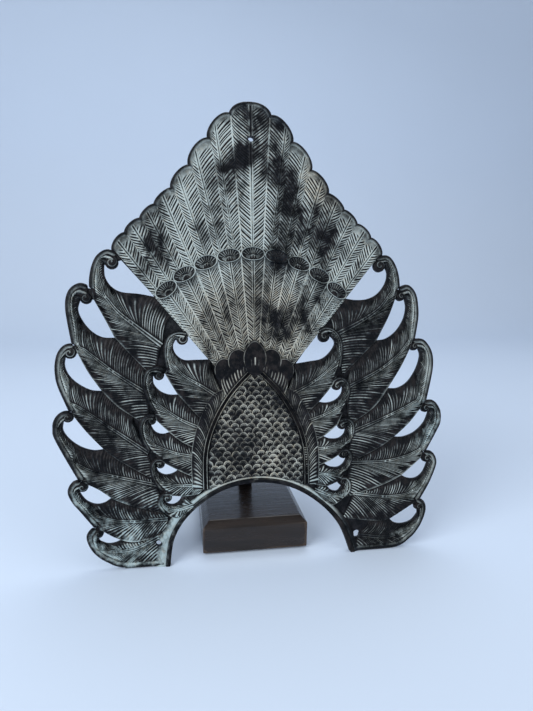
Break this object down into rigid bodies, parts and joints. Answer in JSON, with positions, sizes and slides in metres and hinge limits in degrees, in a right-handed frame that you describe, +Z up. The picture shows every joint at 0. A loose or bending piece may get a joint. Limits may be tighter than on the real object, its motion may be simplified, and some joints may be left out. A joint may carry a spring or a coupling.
{
  "type": "arched aureole plaque",
  "caption": "Cast openwork aureole plaque of fanned feathers and curling plumes over an arch, leaning on a low block stand with a back strap.",
  "frame": {"origin": "middle of the footprint's bounding box, on the floor", "axes": "+Z up, the plaque's front faces -Y, +X to the viewer's right"},
  "size_m": [0.3084, 0.1114, 0.3539],
  "materials": {
    "patinated_brass": "cast brass with a blackened patina, rubbed pale on the raised lines",
    "dark_hardwood": "dark stained, glossy on top",
    "black_steel": "satin black",
    "screw_steel": "plain",
    "felt": "black felt"
  },
  "bodies": {
    "stand": {"base_block": "dark_hardwood", "back_strap": "black_steel", "strap_screw_1": "screw_steel", "strap_screw_2": "screw_steel", "cross_bar": "black_steel", "cross_bar_screw": "screw_steel", "rest_felt_left": "felt", "rest_felt_right": "felt", "foot_pad_1": "felt", "foot_pad_2": "felt", "foot_pad_3": "felt", "foot_pad_4": "felt"},
    "plaque": {"aureole_plaque": "patinated_brass"}
  },
  "joints": [
    {"name": "plaque_lift", "type": "slide", "parent": "stand", "child": "plaque", "axis": [0, 0.184, 0.9829], "range_m": [0, 0.23]}
  ]
}
